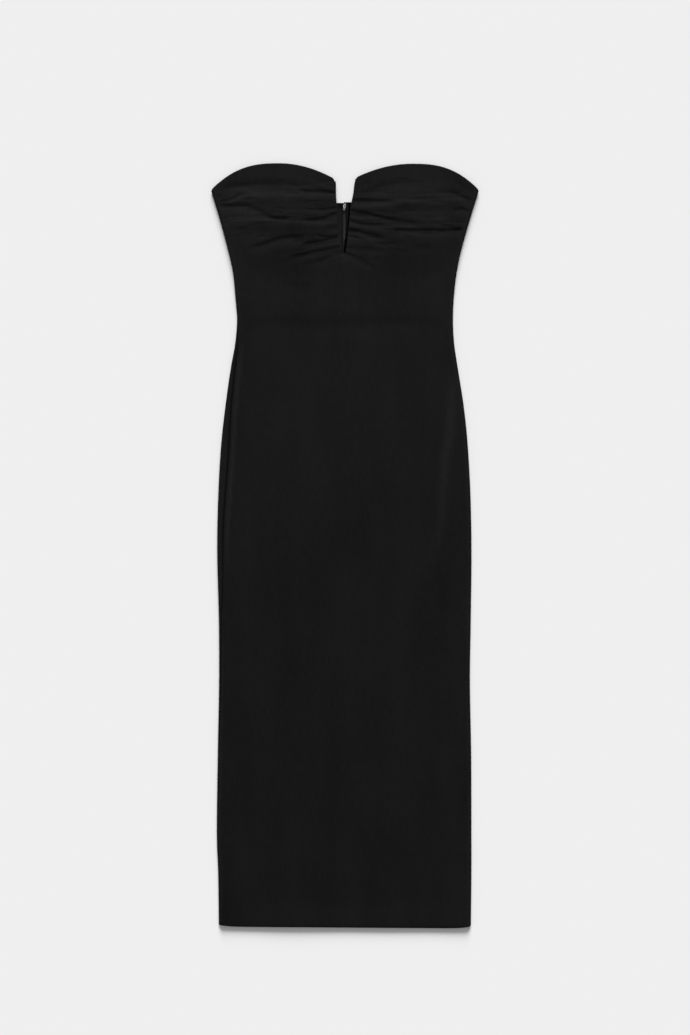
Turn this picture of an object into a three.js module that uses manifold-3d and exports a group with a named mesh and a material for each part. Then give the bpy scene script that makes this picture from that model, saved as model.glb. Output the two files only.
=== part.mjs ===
// Strapless midi dress of black stretch crepe, laid flat with its front up, as a three.js scene graph.
// Millimetres: +Y runs to the neck edge, +X to the wearer's left and +Z up from the surface it lies on.
import * as THREE from "three";
import { mergeVertices } from "three/addons/utils/BufferGeometryUtils.js";
import Module from "manifold-3d";

// Driving sizes
const seamGap = 0.3; // between sewn pieces
const layGap = 0.9; // between the back and the front that lies on it
const wall = { back: 1.2, skirt: 1.2, bodice: 2, bust: 3, cupFill: 4, hemTurn: 0.8 };
const levels = { hemTurn: -561, waist: 346, underBust: 400, bust: 470 };
const edgeRoll = { skirtRadius: 2.2, bustRadius: 3.2, reach: 26, leastBend: 0.5 };
const foldEdge = 1.1; // how far a turned edge rounds out past its two faces
const cup = { x: 100, y: 495, halfWidth: 100, halfHeight: 92, innerRise: 1.6 };
const neck = { cornerX: 204.9, cornerY: 545.1, backY: 525.3, outerPower: 2.65, innerPower: 2 };
const hem = { y: -582.2, slant: -1.3, cornerLift: 3, cornerPower: 16, halfWidth: 192.5, backShort: 0.6 };
const zip = { x: -1.6, top: 523, end: 105, coilHalf: 2.6, coilHeight: 1.3, tapeIn: 3.3, tapeOut: 14.3,
  tapeThick: 0.5, mound: 1.05, moundHalf: 13, fade: 45 };
const slider = { length: 9.6, topHalf: 3, footHalf: 2.4, height: 2.2, bevel: 0.35 };
const bridge = { x: 0.1, y: 522.8, half: 0.75, wide: 1.5, wall: 0.85, pivotHeight: 0.9, sink: 0.4 };
const tab = { length: 9, half: 2.1, thick: 0.9, eyeHalf: 1.05, eyeLength: 2.6, barHalf: 0.45, slantDeg: 12,
  footSteps: 10 };

const sides = {
  right: { column: "right", sign: -1, apexX: 101, apexY: 586.4 },
  left: { column: "left", sign: 1, apexX: 103.5, apexY: 585.7 },
};

// Half-widths of the laid dress from the top of its side seams to its hem
const outline = [
  { y: 545.1, right: 204.9, left: 204.9 },
  { y: 503.8, right: 192.2, left: 192.0 },
  { y: 453.3, right: 178.7, left: 177.8 },
  { y: 419.7, right: 171.3, left: 170.9 },
  { y: 383, right: 167.7, left: 166.7 },
  { y: 346.2, right: 165, left: 165.2 },
  { y: 309.5, right: 168.1, left: 167.2 },
  { y: 272.8, right: 174.8, left: 172.7 },
  { y: 217.7, right: 182.5, left: 181.4 },
  { y: 162.6, right: 188.9, left: 187.3 },
  { y: 89.2, right: 193.4, left: 191.6 },
  { y: -2.6, right: 195.4, left: 193.5 },
  { y: -112.8, right: 192.8, left: 192.4 },
  { y: -204.6, right: 192.4, left: 191.1 },
  { y: -314.7, right: 194.4, left: 193 },
  { y: -443.2, right: 196, left: 193.4 },
  { y: -498.3, right: 193.9, left: 193.4 },
  { y: -587, right: 192.8, left: 192.5 },
];

// Where the edges of the centre notch lie to each side of the middle
const notch = [
  { y: 564.3, right: 15.1, left: 16.3 },
  { y: 556, right: 13.7, left: 14.4 },
  { y: 540.5, right: 13.7, left: 12.6 },
  { y: 525, right: 12.6, left: 9.4 },
  { y: 500, right: 12.2, left: 6.8 },
  { y: 472, right: 10.2, left: 3.9 },
  { y: 458, right: 6, left: 2.3 },
  { y: 446.5, right: -0.5, left: 0.5 },
];

// Width of the strip of back that rolls onto the top at each side
const sideStrip = [
  { y: 352, right: 0, left: 0 },
  { y: 300, right: 5.2, left: 0 },
  { y: 213, right: 9, left: 0 },
  { y: 158, right: 11.9, left: 0 },
  { y: 120, right: 12.2, left: 0 },
  { y: 30, right: 8.8, left: 0 },
  { y: -21, right: 8.4, left: 0 },
  { y: -70, right: 7.2, left: 0 },
  { y: -100, right: 4.8, left: 0 },
  { y: -174, right: 3, left: 0 },
  { y: -300, right: 1.5, left: 0 },
  { y: -587, right: 1, left: 0 },
];

// Gathers of the bust and the drag line of the hip: three points each on their crest or trough, the
// rise of the cloth there, and how far it spreads to either side
const gathers = [
  { from: [-187, 554], via: [-128, 556], to: [-62, 557], rise: -0.5, above: 8, below: 7 },
  { from: [-72, 547], via: [-45, 545], to: [-5, 543], rise: -1.1, above: 4, below: 5 },
  { from: [-192, 531], via: [-120, 543], to: [-5, 540], rise: 0.8, above: 6, below: 7 },
  { from: [-198, 524], via: [-150, 523], to: [-84, 501], rise: -1.3, above: 6, below: 4.5 },
  { from: [-66, 500], via: [-40, 502], to: [0, 514], rise: -1.5, above: 4, below: 4.5 },
  { from: [-190, 493], via: [-123, 502], to: [-2, 502], rise: 0.7, above: 5, below: 5 },
  { from: [-176, 485], via: [-120, 486], to: [-66, 485], rise: -0.6, above: 6, below: 7 },
  { from: [-150, 456], via: [-107, 471], to: [-55, 477], rise: -1.2, above: 6, below: 4 },
  { from: [-62, 464], via: [-32, 470], to: [4, 479], rise: -1.5, above: 4, below: 5 },
  { from: [-102, 440], via: [-54, 452], to: [0, 463], rise: -1.2, above: 4.5, below: 5 },
  { from: [-53, 434], via: [-25, 445], to: [2, 454], rise: -1, above: 4, below: 4 },
  { from: [36, 549], via: [74, 561], to: [112, 562], rise: -0.6, above: 7, below: 8 },
  { from: [5, 531], via: [37, 530], to: [74, 529], rise: -1.3, above: 4, below: 4 },
  { from: [5, 520], via: [90, 529], to: [176, 533], rise: 0.8, above: 5, below: 6 },
  { from: [150, 544], via: [176, 542], to: [200, 532], rise: -0.9, above: 5, below: 5 },
  { from: [0, 518], via: [51, 508], to: [120, 496], rise: -1.7, above: 4.5, below: 5.5 },
  { from: [2, 503], via: [30, 496], to: [68, 494], rise: -1.1, above: 4, below: 4 },
  { from: [76, 485], via: [120, 486], to: [190, 487], rise: -1.6, above: 6, below: 4.5 },
  { from: [2, 487], via: [34, 481], to: [68, 472], rise: -1.2, above: 4, below: 5 },
  { from: [2, 461], via: [28, 456], to: [136, 461], rise: -0.6, above: 6, below: 6 },
  { from: [0, 455], via: [17, 443], to: [40, 431], rise: -1.1, above: 4, below: 5 },
  { from: [163, 226], via: [126, 0], to: [112, -120], rise: 0.6, above: 14, below: 12 },
];
const gatherEnd = 0.22; // share of a gather's length over which each end dies away

// Rows and columns of the panels' grids
const bustRows = 30;
const straightRows = [
  439, 431, 422, 410, 396, 380, 362, 346, 328, 309.5, 291, 272.8, 250, 226, 195, 162.6, 130, 104, 60, 30,
  -2.6, -50, -85, -112.8, -160, -204.6, -260, -314.7, -380, -443.2, -498.3, -540,
];
const backBustSteps = [0, 6, 12, 18, 24, 30];
const rollShares = [0, 0.07, 0.17, 0.4, 1];
const frontColumns = 14;
const backRollColumns = 6;
const backFlatColumns = 3;

const clamp = THREE.MathUtils.clamp;
const mix = THREE.MathUtils.lerp;
const smooth = (t) => THREE.MathUtils.smoothstep(t, 0, 1);

// Smooth value of a table's column at a height; the rows run down in y
function read(table, column, y) {
  const last = table.length - 1;
  const at = clamp(y, table[last].y, table[0].y);
  const k = clamp(table.findIndex((row) => row.y <= at) - 1, 0, last - 1);
  const slope = (i) => {
    const [above, below] = [table[Math.max(i - 1, 0)], table[Math.min(i + 1, last)]];
    return (below[column] - above[column]) / (below.y - above.y);
  };
  const [top, foot] = [table[k], table[k + 1]];
  const span = foot.y - top.y;
  const t = (at - top.y) / span;
  return (
    (1 + 2 * t) * (1 - t) ** 2 * top[column] + t * (1 - t) ** 2 * span * slope(k) +
    t * t * (3 - 2 * t) * foot[column] - t * t * (1 - t) * span * slope(k + 1)
  );
}

// Neck edge of a cup, as a height over the distance from the middle
function cupEdge(side, x) {
  const out = x > side.apexX;
  const corner = out ? neck.cornerX : notch[0][side.column];
  const cornerY = out ? neck.cornerY : notch[0].y - (side.column === "right" ? 2.3 : 0);
  const share = Math.abs(x - side.apexX) / Math.abs(corner - side.apexX);
  return side.apexY - (side.apexY - cornerY) * share ** (out ? neck.outerPower : neck.innerPower);
}

const hemEdge = (x) =>
  hem.y + (hem.slant * x) / hem.halfWidth + hem.cornerLift * Math.abs(x / hem.halfWidth) ** hem.cornerPower;

const backNeckEdge = (x) => mix(neck.backY, neck.cornerY, (x / neck.cornerX) ** 2);

const edgeRadius = (y) => mix(edgeRoll.skirtRadius, edgeRoll.bustRadius, smooth((y - levels.waist) / 100));

// Thickness of the front before the cups' padding: lined above the waist, doubled at the hem
function plainWall(y) {
  const lined = mix(wall.skirt, wall.bodice, smooth((y - levels.waist + 8) / 16));
  const bust = (wall.bust - wall.bodice) * smooth((y - levels.underBust) / (levels.bust - levels.underBust));
  return lined + bust + (y < levels.hemTurn ? wall.hemTurn : 0);
}

const edgeWall = (y) => Math.min(plainWall(y), edgeRadius(y) - edgeRoll.leastBend);

function cupBump(x, y) {
  const share = ((Math.abs(x) - cup.x) / cup.halfWidth) ** 2 + ((y - cup.y) / cup.halfHeight) ** 2;
  return share < 1 ? (1 - share) ** 2 : 0;
}

// Height of the front's underside: it lies on the back, over the zip and under the padded cups
function restHeight(x, y) {
  const overZip = zip.mound / (1 + ((x - zip.x) / zip.moundHalf) ** 4);
  return wall.back + layGap + overZip * smooth((y - zip.end + zip.fade) / zip.fade) + cup.innerRise * cupBump(x, y);
}

const frontWall = (x, y) => plainWall(y) + wall.cupFill * cupBump(x, y);

// Rise of the gathers at a point of the front
function gatherRise(x, y) {
  let rise = 0;
  for (const g of gathers) {
    const lengthways = Math.abs(g.to[0] - g.from[0]) > Math.abs(g.to[1] - g.from[1]) ? 0 : 1;
    const across = 1 - lengthways;
    const [a, b, c] = [g.from[lengthways], g.via[lengthways], g.to[lengthways]];
    const p = lengthways ? y : x;
    const along = (p - a) / (c - a);
    if (along <= 0 || along >= 1) continue;
    const line =
      (g.from[across] * (p - b) * (p - c)) / ((a - b) * (a - c)) +
      (g.via[across] * (p - a) * (p - c)) / ((b - a) * (b - c)) +
      (g.to[across] * (p - a) * (p - b)) / ((c - a) * (c - b));
    const off = (lengthways ? x : y) - line;
    const ends = smooth(along / gatherEnd) * smooth((1 - along) / gatherEnd);
    rise += g.rise * ends * Math.exp(-((off / (off > 0 ? g.above : g.below)) ** 2));
  }
  return rise;
}

// Where the side seam lies, as an arc of the section from its outermost point up over the top
function seamArc(side, y) {
  const strip = Math.max(read(sideStrip, side.column, y), 0);
  const radius = edgeRadius(y);
  if (strip < radius) return radius * Math.acos(1 - strip / radius);
  return (Math.PI / 2) * radius + strip - radius;
}

// How far in from the outline an arc of the section lies
function insetAt(y, arc) {
  const radius = edgeRadius(y);
  const flat = Math.abs(arc) - (Math.PI / 2) * radius;
  return flat >= 0 ? radius + flat : radius * (1 - Math.cos(arc / radius));
}

// Outer and inner point of the cloth at an arc of the section: round the edge, then flat above or below
function clothAt(side, halfWidth, arc, y, lineY) {
  const radius = edgeRadius(lineY);
  const quarter = (Math.PI / 2) * radius;
  const x = side.sign * (halfWidth - insetAt(lineY, arc));
  const turn = clamp(arc, -quarter, quarter) / radius;
  const settled = smooth((Math.abs(arc) - quarter) / (edgeRoll.reach - quarter));
  const above = arc > 0;
  const flatZ = above ? mix(2 * radius, restHeight(x, y) + frontWall(x, y), settled) : 0;
  const z = Math.abs(arc) > quarter ? flatZ : radius * (1 + Math.sin(turn));
  const thick = mix(edgeWall(lineY), above ? frontWall(x, y) : wall.back, settled);
  const lift = above ? gatherRise(x, y) * settled : 0;
  return {
    outer: [x, y, z + lift],
    inner: [x - side.sign * Math.cos(turn) * thick, y, z - Math.sin(turn) * thick],
    fold: [0, 0, 0],
  };
}

// Closed wall from points with an outer and an inner place, and triangles that face out. Its rim has a
// middle line, which a turned edge pushes out to round itself.
function closeWall(points, triangles) {
  const count = points.length;
  const positions = [...points.map((p) => p.outer), ...points.map((p) => p.inner)];
  const index = [];
  const edges = new Map();
  for (const [a, b, c] of triangles) {
    index.push(a, b, c, a + count, c + count, b + count);
    for (const [from, to] of [[a, b], [b, c], [c, a]]) edges.set(`${from} ${to}`, [from, to]);
  }
  const middles = new Map();
  const middleOf = (k) => {
    if (!middles.has(k)) {
      const { outer, inner, fold } = points[k];
      middles.set(k, positions.length);
      positions.push(outer.map((value, axis) => (value + inner[axis]) / 2 + fold[axis]));
    }
    return middles.get(k);
  };
  for (const [from, to] of edges.values()) {
    if (edges.has(`${to} ${from}`)) continue;
    const [m, n] = [middleOf(from), middleOf(to)];
    index.push(to, from, m, to, m, n, n, m, from + count, n, from + count, to + count);
  }
  const geometry = new THREE.BufferGeometry();
  geometry.setAttribute("position", new THREE.Float32BufferAttribute(positions.flat(), 3));
  geometry.setIndex(index);
  geometry.computeVertexNormals();
  return geometry;
}

// Triangles of a grid of point numbers
function gridTriangles(grid, flip) {
  const triangles = [];
  for (let j = 0; j + 1 < grid.length; j++) {
    for (let i = 0; i + 1 < grid[j].length; i++) {
      const [a, b, c, d] = [grid[j][i], grid[j + 1][i], grid[j + 1][i + 1], grid[j][i + 1]];
      if (flip) triangles.push([a, c, b], [a, d, c]);
      else triangles.push([a, b, c], [a, c, d]);
    }
  }
  return triangles;
}

// Places of the front's columns in a row: arcs round the edge, then even steps to the middle
function frontArcs(side, halfWidth, lineY, endX) {
  const start = seamArc(side, lineY) + seamGap / 2;
  const arcs = rollShares.map((share) => mix(start, edgeRoll.reach, share));
  const flatSteps = frontColumns - rollShares.length + 1;
  const flatRun = halfWidth - insetAt(lineY, edgeRoll.reach) - endX;
  for (let i = 1; i <= flatSteps; i++) arcs.push(edgeRoll.reach + (flatRun * i) / flatSteps);
  return arcs;
}

// One half of the front: rows fan from the cup's edge to the foot of the notch, then run straight
function frontHalf(side, points, sharedMiddle) {
  const foot = notch[notch.length - 1].y;
  const grid = [];
  const addRow = (lineY, endX, heightOf, shared) => {
    const halfWidth = read(outline, side.column, lineY);
    const arcs = frontArcs(side, halfWidth, lineY, endX);
    const row = arcs.map((arc, i) => {
      const middle = shared && i === arcs.length - 1;
      if (middle && sharedMiddle.has(lineY)) return sharedMiddle.get(lineY);
      points.push(clothAt(side, halfWidth, arc, heightOf(halfWidth - insetAt(lineY, arc), i), lineY));
      if (middle) sharedMiddle.set(lineY, points.length - 1);
      return points.length - 1;
    });
    grid.push(row);
  };
  const topWidth = read(outline, side.column, neck.cornerY);
  const topY = neck.cornerY - foldEdge;
  const topNotch = notch[0][side.column] + foldEdge;
  const topX = frontArcs(side, topWidth, topY, topNotch).map((arc) => topWidth - insetAt(topY, arc));
  for (let j = 0; j <= bustRows; j++) {
    const share = j / bustRows;
    const notchY = mix(cupEdge(side, topNotch), foot, share);
    const inset = foldEdge * Math.min(1, (1 - share) * 6);
    const endX = read(notch, side.column, notchY) + inset;
    const height = (x, i) => mix(cupEdge(side, topX[i]) - foldEdge, foot, share);
    addRow(mix(topY, foot, share), endX, height, j === bustRows);
    const row = grid[grid.length - 1];
    if (j < bustRows) points[row[row.length - 1]].fold[0] -= side.sign * foldEdge;
    if (j === 0) for (const k of row) points[k].fold[1] += foldEdge;
  }
  const middleX = side.sign * notch[notch.length - 1].left;
  const hemRows = [levels.hemTurn + 1, levels.hemTurn - 1];
  for (const y of [...straightRows, ...hemRows]) addRow(y, middleX, () => y, true);
  addRow(hem.y + foldEdge, middleX, (x) => hemEdge(side.sign * x) + foldEdge, true);
  for (const k of grid[grid.length - 1]) points[k].fold[1] = -foldEdge;
  return gridTriangles(grid, side.sign > 0);
}

function frontPanel() {
  const points = [];
  const sharedMiddle = new Map();
  const triangles = [];
  for (const side of Object.values(sides)) triangles.push(...frontHalf(side, points, sharedMiddle));
  return closeWall(points, triangles);
}

// One half of the back: from the side seam round under the edge to the centre-back seam
function backPanel(side) {
  const points = [];
  const grid = [];
  const foot = notch[notch.length - 1].y;
  const endX = side.sign * zip.x + seamGap / 2;
  const arcsOf = (halfWidth, lineY) => {
    const start = seamArc(side, lineY) - seamGap / 2;
    const under = (-Math.PI / 2) * edgeRadius(lineY);
    const arcs = [];
    for (let i = 0; i < backRollColumns; i++) arcs.push(mix(start, under, i / backRollColumns));
    arcs.push(under, -edgeRoll.reach);
    const flatRun = halfWidth - insetAt(lineY, edgeRoll.reach) - endX;
    for (let i = 1; i <= backFlatColumns; i++) arcs.push(-edgeRoll.reach - (flatRun * i) / backFlatColumns);
    return arcs;
  };
  const addRow = (lineY, heightOf) => {
    const halfWidth = read(outline, side.column, lineY);
    const row = arcsOf(halfWidth, lineY).map((arc, i) => {
      points.push(clothAt(side, halfWidth, arc, heightOf(halfWidth - insetAt(lineY, arc), i), lineY));
      return points.length - 1;
    });
    grid.push(row);
  };
  const topY = neck.cornerY - foldEdge;
  const topWidth = read(outline, side.column, topY);
  const topX = arcsOf(topWidth, topY).map((arc) => topWidth - insetAt(topY, arc));
  for (const step of backBustSteps) {
    const share = step / bustRows;
    addRow(mix(topY, foot, share), (x, i) => mix(backNeckEdge(topX[i]) - foldEdge, foot, share));
  }
  for (const k of grid[0]) points[k].fold[1] = foldEdge / 2;
  for (const y of straightRows) addRow(y, () => y);
  addRow(hem.y + foldEdge, (x) => hemEdge(side.sign * x) + foldEdge + hem.backShort);
  for (const k of grid[grid.length - 1]) points[k].fold[1] = -foldEdge / 2;
  return closeWall(points, gridTriangles(grid, side.sign < 0));
}

// A zip tape lies flat on the inside of the back, beside the coil
function zipTape(side) {
  const geometry = new THREE.BoxGeometry(zip.tapeOut - zip.tapeIn, zip.top - zip.end, zip.tapeThick);
  const x = zip.x + (side.sign * (zip.tapeOut + zip.tapeIn)) / 2;
  return geometry.translate(x, (zip.top + zip.end) / 2, wall.back + seamGap + zip.tapeThick / 2);
}

const sliderFoot = zip.top - slider.length;

// Closed coil, a low round-topped rib between the tapes
function zipCoil() {
  const crown = zip.coilHeight * 0.6;
  const shape = new THREE.Shape();
  shape.moveTo(-zip.coilHalf, 0);
  shape.lineTo(zip.coilHalf, 0);
  shape.lineTo(zip.coilHalf, zip.coilHeight - crown);
  shape.bezierCurveTo(zip.coilHalf * 0.8, zip.coilHeight, zip.coilHalf * 0.3, zip.coilHeight, 0, zip.coilHeight);
  shape.bezierCurveTo(
    -zip.coilHalf * 0.3, zip.coilHeight, -zip.coilHalf * 0.8, zip.coilHeight, -zip.coilHalf, zip.coilHeight - crown,
  );
  const depth = sliderFoot - seamGap - zip.end;
  const geometry = new THREE.ExtrudeGeometry(shape, { depth, bevelEnabled: false, curveSegments: 4 });
  const [right, up, down] = [new THREE.Vector3(1, 0, 0), new THREE.Vector3(0, 0, 1), new THREE.Vector3(0, -1, 0)];
  geometry.applyMatrix4(new THREE.Matrix4().makeBasis(right, up, down));
  return geometry.translate(zip.x, sliderFoot - seamGap, wall.back + seamGap);
}

const sliderTop = wall.back + seamGap + slider.height;
const pivot = new THREE.Vector3(bridge.x, bridge.y, sliderTop + bridge.pivotHeight);
const tabSlant = THREE.MathUtils.degToRad(-tab.slantDeg);

// Body of the slider, wider at its mouth, with softened edges
function sliderBody() {
  const inset = slider.bevel;
  const shape = new THREE.Shape();
  shape.moveTo(-slider.footHalf + inset, inset);
  shape.lineTo(slider.footHalf - inset, inset);
  shape.lineTo(slider.topHalf - inset, slider.length * 0.55);
  shape.lineTo(slider.topHalf - inset, slider.length - 1);
  shape.lineTo(slider.topHalf - 1, slider.length - inset);
  shape.lineTo(1 - slider.topHalf, slider.length - inset);
  shape.lineTo(inset - slider.topHalf, slider.length - 1);
  shape.lineTo(inset - slider.topHalf, slider.length * 0.55);
  const geometry = new THREE.ExtrudeGeometry(shape, {
    depth: slider.height - 2 * slider.bevel, bevelSize: slider.bevel, bevelThickness: slider.bevel, bevelSegments: 2,
  });
  return geometry.translate(zip.x, sliderFoot, wall.back + seamGap + slider.bevel);
}

// Bridge on the slider that the pull tab's bar passes through, turned with the tab
function sliderBridge() {
  const reach = bridge.half + bridge.wall;
  const base = -bridge.pivotHeight - bridge.sink;
  const shape = new THREE.Shape();
  shape.moveTo(-reach, base);
  shape.lineTo(reach, base);
  shape.lineTo(reach, bridge.half);
  shape.quadraticCurveTo(reach, reach - 0.2, bridge.half, reach - 0.2);
  shape.lineTo(-bridge.half, reach - 0.2);
  shape.quadraticCurveTo(-reach, reach - 0.2, -reach, bridge.half);
  const eye = new THREE.Path();
  eye.moveTo(-bridge.half, base + 0.2);
  eye.lineTo(-bridge.half, bridge.half);
  eye.lineTo(bridge.half, bridge.half);
  eye.lineTo(bridge.half, base + 0.2);
  shape.holes.push(eye);
  const geometry = new THREE.ExtrudeGeometry(shape, { depth: bridge.wide, bevelEnabled: false, curveSegments: 4 });
  geometry.translate(0, 0, -bridge.wide / 2);
  const [x, y, z] = [new THREE.Vector3(1, 0, 0), new THREE.Vector3(0, 1, 0), new THREE.Vector3(0, 0, 1)];
  geometry.applyMatrix4(new THREE.Matrix4().makeBasis(y, z, x));
  return geometry.rotateZ(tabSlant).translate(pivot.x, pivot.y, pivot.z);
}

// Pull tab: a flat bar with a round foot and an eye whose end bar is the pivot
function pullTab() {
  const shape = new THREE.Shape();
  shape.moveTo(-tab.half, tab.barHalf);
  for (let i = 0; i <= tab.footSteps; i++) {
    const turn = Math.PI * (1 + i / tab.footSteps);
    shape.lineTo(tab.half * Math.cos(turn), tab.half - tab.length + tab.half * Math.sin(turn));
  }
  shape.lineTo(tab.half, tab.barHalf);
  const eye = new THREE.Path();
  eye.moveTo(-tab.eyeHalf, -tab.barHalf);
  eye.lineTo(tab.eyeHalf, -tab.barHalf);
  eye.lineTo(tab.eyeHalf, -tab.barHalf - tab.eyeLength);
  eye.lineTo(-tab.eyeHalf, -tab.barHalf - tab.eyeLength);
  shape.holes.push(eye);
  const geometry = new THREE.ExtrudeGeometry(shape, { depth: tab.thick, bevelEnabled: false });
  return geometry.translate(0, 0, -tab.thick / 2);
}

const wasm = await Module();
wasm.setup();

function solidOf(geometry) {
  geometry.deleteAttribute("normal");
  geometry.deleteAttribute("uv");
  const merged = mergeVertices(geometry, 1e-4);
  const vertProperties = merged.attributes.position.array;
  const triVerts = new Uint32Array(merged.index.array);
  return new wasm.Manifold(new wasm.Mesh({ numProp: 3, vertProperties, triVerts }));
}

function joined(...geometries) {
  const { vertProperties, triVerts } = geometries.map(solidOf).reduce((a, b) => a.add(b)).getMesh();
  const geometry = new THREE.BufferGeometry();
  geometry.setAttribute("position", new THREE.Float32BufferAttribute(vertProperties, 3));
  geometry.setIndex([...triVerts]);
  geometry.computeVertexNormals();
  return geometry;
}

const crepe = () => new THREE.MeshStandardMaterial({ color: 0x191919, roughness: 0.9, side: THREE.DoubleSide });
const tape = () => new THREE.MeshStandardMaterial({ color: 0x161616, roughness: 0.85 });
const coil = () => new THREE.MeshStandardMaterial({ color: 0x202020, roughness: 0.5 });
const metal = () => new THREE.MeshStandardMaterial({ color: 0xc4c6c8, roughness: 0.28, metalness: 1 });
const paint = () => new THREE.MeshStandardMaterial({ color: 0x1b1b1b, roughness: 0.45 });

function named(name, geometry, material) {
  const mesh = new THREE.Mesh(geometry, material);
  mesh.name = name;
  return mesh;
}

const dress = new THREE.Group();
dress.add(named("front_panel", frontPanel(), crepe()));
for (const side of Object.values(sides)) {
  dress.add(named(`back_${side.column}`, backPanel(side), crepe()));
  dress.add(named(`zip_tape_${side.column}`, zipTape(side), tape()));
}
dress.add(named("zip_coil", zipCoil(), coil()));
dress.add(named("zip_slider", joined(sliderBody(), sliderBridge()), paint()));

const tabPivot = new THREE.Group();
tabPivot.position.copy(pivot);
tabPivot.rotation.z = tabSlant;
tabPivot.add(named("zip_pull_tab", pullTab(), metal()));
dress.add(tabPivot);

export default dress;
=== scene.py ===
import math

import bmesh
import bpy
import numpy as np
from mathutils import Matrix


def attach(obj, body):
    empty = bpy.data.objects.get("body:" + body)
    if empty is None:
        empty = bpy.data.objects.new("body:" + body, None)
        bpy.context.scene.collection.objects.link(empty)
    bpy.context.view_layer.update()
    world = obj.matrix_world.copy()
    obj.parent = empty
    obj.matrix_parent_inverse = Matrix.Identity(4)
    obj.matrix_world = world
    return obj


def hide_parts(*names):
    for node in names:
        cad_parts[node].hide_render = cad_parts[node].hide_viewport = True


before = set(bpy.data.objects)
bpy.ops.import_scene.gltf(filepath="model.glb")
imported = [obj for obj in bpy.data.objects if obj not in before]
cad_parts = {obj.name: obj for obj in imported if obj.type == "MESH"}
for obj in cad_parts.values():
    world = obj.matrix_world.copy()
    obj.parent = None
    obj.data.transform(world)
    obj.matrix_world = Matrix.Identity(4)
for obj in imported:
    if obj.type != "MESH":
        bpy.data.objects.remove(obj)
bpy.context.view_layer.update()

# A strapless midi dress of black crepe, laid flat with its front up.
# Tables and values are in millimetres, apart from those said to be in metres. Meshes are in metres.
mm = 0.001
print("frame loaded")

cut = {
    "seamGap": 0.3, "layGap": 0.9, "foldEdge": 1.1, "backWall": 1.2, "skirtWall": 1.2, "bodiceWall": 2,
    "bustWall": 3, "cupFill": 4, "hemTurnWall": 1, "hemTurnY": -561, "hemTurnSoft": 40, "hemCurl": 0.9,
    "waistY": 346, "liningFade": 16, "underBustY": 400, "bustY": 470, "skirtRadius": 2.2, "bustRadius": 3.2,
    "radiusRun": 100, "rollReach": 26, "topRun": 5, "leastBend": 0.5, "leastWall": 0.8,
    "cupX": 100, "cupY": 495, "cupHalfWidth": 100, "cupHalfHeight": 92, "cupInnerRise": 1.6, "cupPower": 2.65,
    "cornerX": 204.9, "cornerY": 545.1, "backNeckRight": 526.4, "backNeckLeft": 527.6,
    "hemY": -582.2, "hemSlant": -1.3, "hemCornerLift": 3, "hemCornerPower": 16, "hemHalf": 192.5,
    "backShort": 0.6, "zipX": -1.6, "zipTop": 523, "tapeTop": 525.4, "zipEnd": 105, "zipMound": 1.05,
    "zipMoundHalf": 13, "zipFade": 45,
}

# The wearer's right is minus X, at the left of a view from above
signOf = {"right": -1.0, "left": 1.0}
cupTops = {
    "right": {"apexX": 101.0, "apexY": 586.4, "notchX": 15.1, "notchY": 562.0, "corner": 3.6},
    "left": {"apexX": 103.5, "apexY": 585.7, "notchX": 16.3, "notchY": 564.3, "corner": 2.5},
}

# Half-widths of the laid dress, from the top of its side seams to its hem
outline = {
    "y": [545.1, 503.8, 453.3, 419.7, 383, 346.2, 309.5, 272.8, 217.7, 162.6, 89.2, -2.6, -112.8, -204.6,
          -314.7, -443.2, -498.3, -587],
    "right": [204.9, 192.2, 178.7, 171.3, 167.7, 165, 168.1, 174.8, 182.5, 188.9, 193.4, 195.4, 192.8, 192.4,
              194.4, 196, 193.9, 192.8],
    "left": [204.9, 192, 177.8, 170.9, 166.7, 165.2, 167.2, 172.7, 181.4, 187.3, 191.6, 193.5, 192.4, 191.1,
             193, 193.4, 193.4, 192.5],
}
notch = {  # its edges' distances from the middle, each on its own side
    "y": [564.3, 556, 540.5, 525, 500, 472, 458, 446.5],
    "right": [15.1, 13.7, 13.7, 12.6, 12.2, 10.2, 6, -0.5],
    "left": [16.3, 14.4, 12.6, 9.4, 6.8, 3.9, 2.3, 0.5],
}
slotEdge = {  # left edge of the painted shadow in the slot beside the zip's coil, in x
    "y": [446, 451, 458.5, 466, 474, 482, 500, 515, 530],
    "x": [-2.6, -2.4, -1.5, -1.1, 1.4, 2.6, 4, 5.2, 6],
}
sideStrip = {  # how much of the back rolls onto the top beside the side seam
    "y": [352, 300, 213, 158, 120, 30, -21, -70, -100, -174, -300, -587],
    "right": [0, 5.2, 9, 11.9, 12.2, 8.8, 8.4, 7.2, 4.8, 3, 1.5, 1],
    "left": [0] * 12,
}


def fold(points, rise, above, below, start=0.2, finish=0.2):
    # points along the line that shows, which is the steep side of a crest or trough towards the light
    return {"points": points, "rise": rise, "above": above, "below": below, "start": start, "finish": finish}


gatherValues = {"lower": 2, "wider": 1.6}


def gather(points, rise, above, below, start=0.2, finish=0.2):
    # a fold whose steep side lies a little below the shadow line that shows, and spreads wider than it
    lower, wider = gatherValues["lower"], gatherValues["wider"]
    return fold([(x, y - lower) for x, y in points], rise, above * wider, below * wider, start, finish)


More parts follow.
